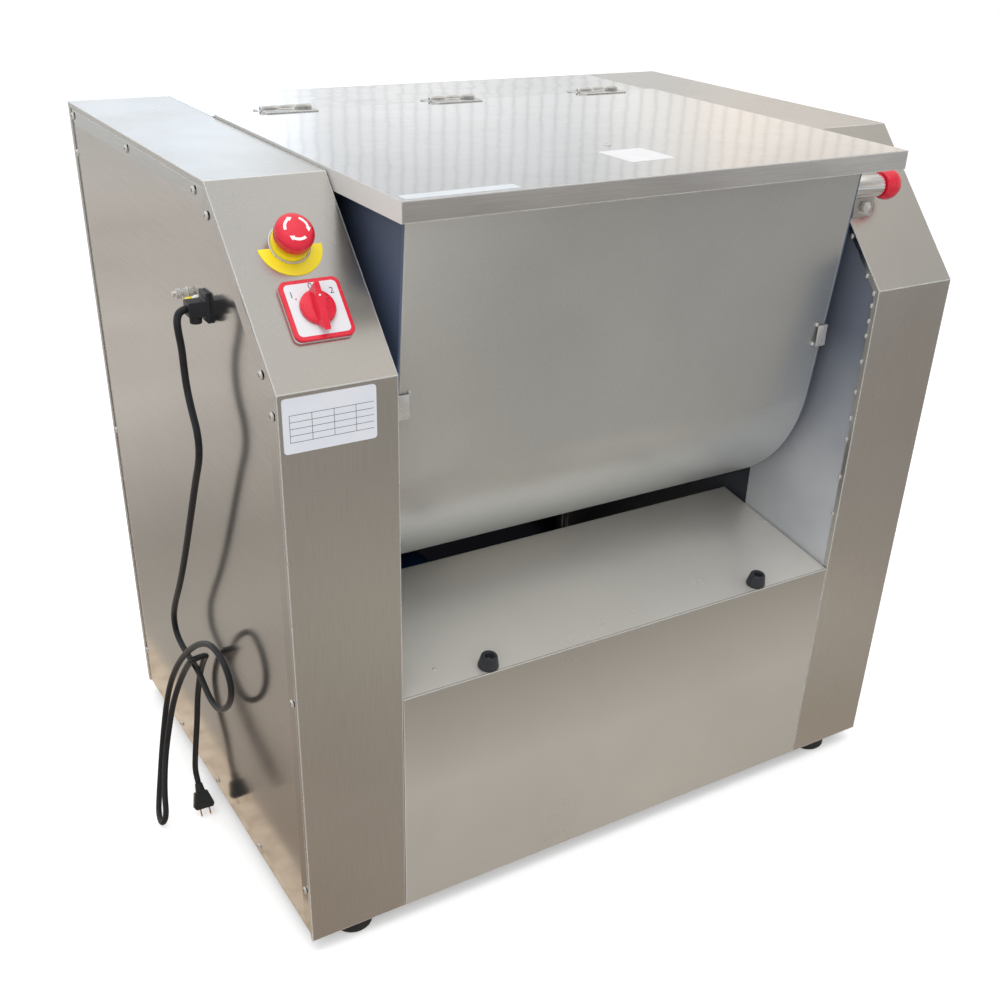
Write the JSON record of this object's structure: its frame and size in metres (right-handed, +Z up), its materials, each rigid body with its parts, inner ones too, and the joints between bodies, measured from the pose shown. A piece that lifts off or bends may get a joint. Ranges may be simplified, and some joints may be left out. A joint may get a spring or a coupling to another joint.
{
  "type": "dough mixer",
  "caption": "Horizontal dough mixer: a tilting U-shaped stainless trough with a lid, hung between two sheet-metal cabinets, with a geared mixing shaft and a mains lead.",
  "frame": {"origin": "on the floor, under the middle of the machine's box without its mains lead", "axes": "+X along the mixing shaft to the operator's right, +Y towards the back, +Z up"},
  "size_m": [1.0249, 0.672, 0.917],
  "materials": {
    "stainless": "brushed stainless sheet",
    "stainless_mirror": "bright rolled stainless sheet",
    "stainless_matt": "bead-blasted stainless sheet",
    "fasteners": "plain steel fasteners",
    "dark_paint": "dark paint on mild steel",
    "motor_paint": "blue machine enamel",
    "cast_parts": "machined cast iron",
    "shaft_steel": "turned steel",
    "black_rubber": "matt black rubber",
    "black_plastic": "matt black plastic",
    "red_plastic": "glossy red plastic",
    "yellow_plastic": "glossy yellow plastic",
    "white_plate": "white coated aluminium sheet"
  },
  "bodies": {
    "frame": {"front_rail": "dark_paint", "rear_rail": "dark_paint", "side_rails": "dark_paint", "motor_rails": "dark_paint", "wall_plate_left": "dark_paint", "wall_plate_right": "dark_paint", "shell_left": "stainless", "shell_right": "stainless", "side_panel_left": "stainless", "side_panel_right": "stainless", "panel_screws": "fasteners", "inner_cover_left": "stainless_matt", "inner_cover_right": "stainless_matt", "back_panel": "stainless", "rear_top_cover": "stainless_mirror", "front_cover": "stainless", "bumpers": "black_rubber", "bumper_screws": "fasteners", "feet": "black_rubber", "hinge_leaves_fixed": "stainless", "hinge_pins": "shaft_steel", "latch_bracket": "stainless", "latch_bolt": "fasteners", "estop_collar": "yellow_plastic", "estop_legend": "yellow_plastic", "switch_plate": "white_plate", "switch_body": "black_plastic", "nameplate": "white_plate", "cable_gland": "black_plastic", "earth_screw": "fasteners", "bearing_left": "cast_parts", "bearing_right": "cast_parts", "pinion_bearing": "cast_parts", "motor_body": "motor_paint", "fan_cover": "motor_paint", "terminal_box": "motor_paint", "drive_belt": "black_rubber", "cord": "black_rubber", "plug": "black_plastic"},
    "trough": {"trough_shell": "stainless", "trough_end_left": "stainless", "trough_end_right": "stainless", "edge_clips": "stainless", "latch_keeper": "stainless"},
    "mixer": {"mixer_shaft": "shaft_steel", "mixing_arms": "stainless", "mixing_bars": "stainless", "main_gear": "cast_parts"},
    "pinion": {"pinion_shaft": "shaft_steel", "drive_pinion": "shaft_steel", "large_pulley": "cast_parts"},
    "rotor": {"motor_shaft": "shaft_steel", "motor_pulley": "cast_parts"},
    "lid": {"lid": "stainless_mirror", "hinge_leaves_lid": "stainless"},
    "latch": {"latch_plunger": "shaft_steel", "latch_knob": "red_plastic"},
    "estop_slider": {"estop_stem": "black_plastic"},
    "estop_head": {"estop_button": "red_plastic"},
    "switch": {"switch_knob": "red_plastic"}
  },
  "joints": [
    {"name": "trough_tilt", "type": "hinge", "parent": "frame", "child": "trough", "pos_m": [0, -0.067, 0.612], "axis": [1, 0, 0], "range_deg": [0, 94]},
    {"name": "lid_hinge", "type": "hinge", "parent": "frame", "child": "lid", "pos_m": [0, 0.168, 0.9132], "axis": [-1, 0, 0], "range_deg": [0, 94]},
    {"name": "mixer_spin", "type": "hinge", "parent": "frame", "child": "mixer", "pos_m": [0, -0.067, 0.612], "axis": [1, 0, 0], "continuous": true},
    {"name": "pinion_spin", "type": "hinge", "parent": "frame", "child": "pinion", "pos_m": [-0.42, 0.03507, 0.42164], "axis": [1, 0, 0], "continuous": true},
    {"name": "motor_spin", "type": "hinge", "parent": "frame", "child": "rotor", "pos_m": [-0.42, 0.112, 0.174], "axis": [1, 0, 0], "continuous": true},
    {"name": "latch_slide", "type": "slide", "parent": "frame", "child": "latch", "axis": [1, 0, 0], "range_m": [-0.003, 0.018]},
    {"name": "estop_press", "type": "slide", "parent": "frame", "child": "estop_slider", "axis": [0, 0.7243, -0.6895], "range_m": [0, 0.004]},
    {"name": "estop_twist", "type": "hinge", "parent": "estop_slider", "child": "estop_head", "pos_m": [-0.401, -0.22459, 0.85273], "axis": [0, -0.7243, 0.6895], "range_deg": [-45, 0]},
    {"name": "switch_turn", "type": "hinge", "parent": "frame", "child": "switch", "pos_m": [-0.397, -0.27492, 0.79986], "axis": [0, -0.7243, 0.6895], "range_deg": [-60, 60]}
  ],
  "couplings": [
    {"joint": "lid_hinge", "follows": "trough_tilt", "ratio": 1},
    {"joint": "pinion_spin", "follows": "mixer_spin", "ratio": -8},
    {"joint": "motor_spin", "follows": "mixer_spin", "ratio": -36}
  ]
}
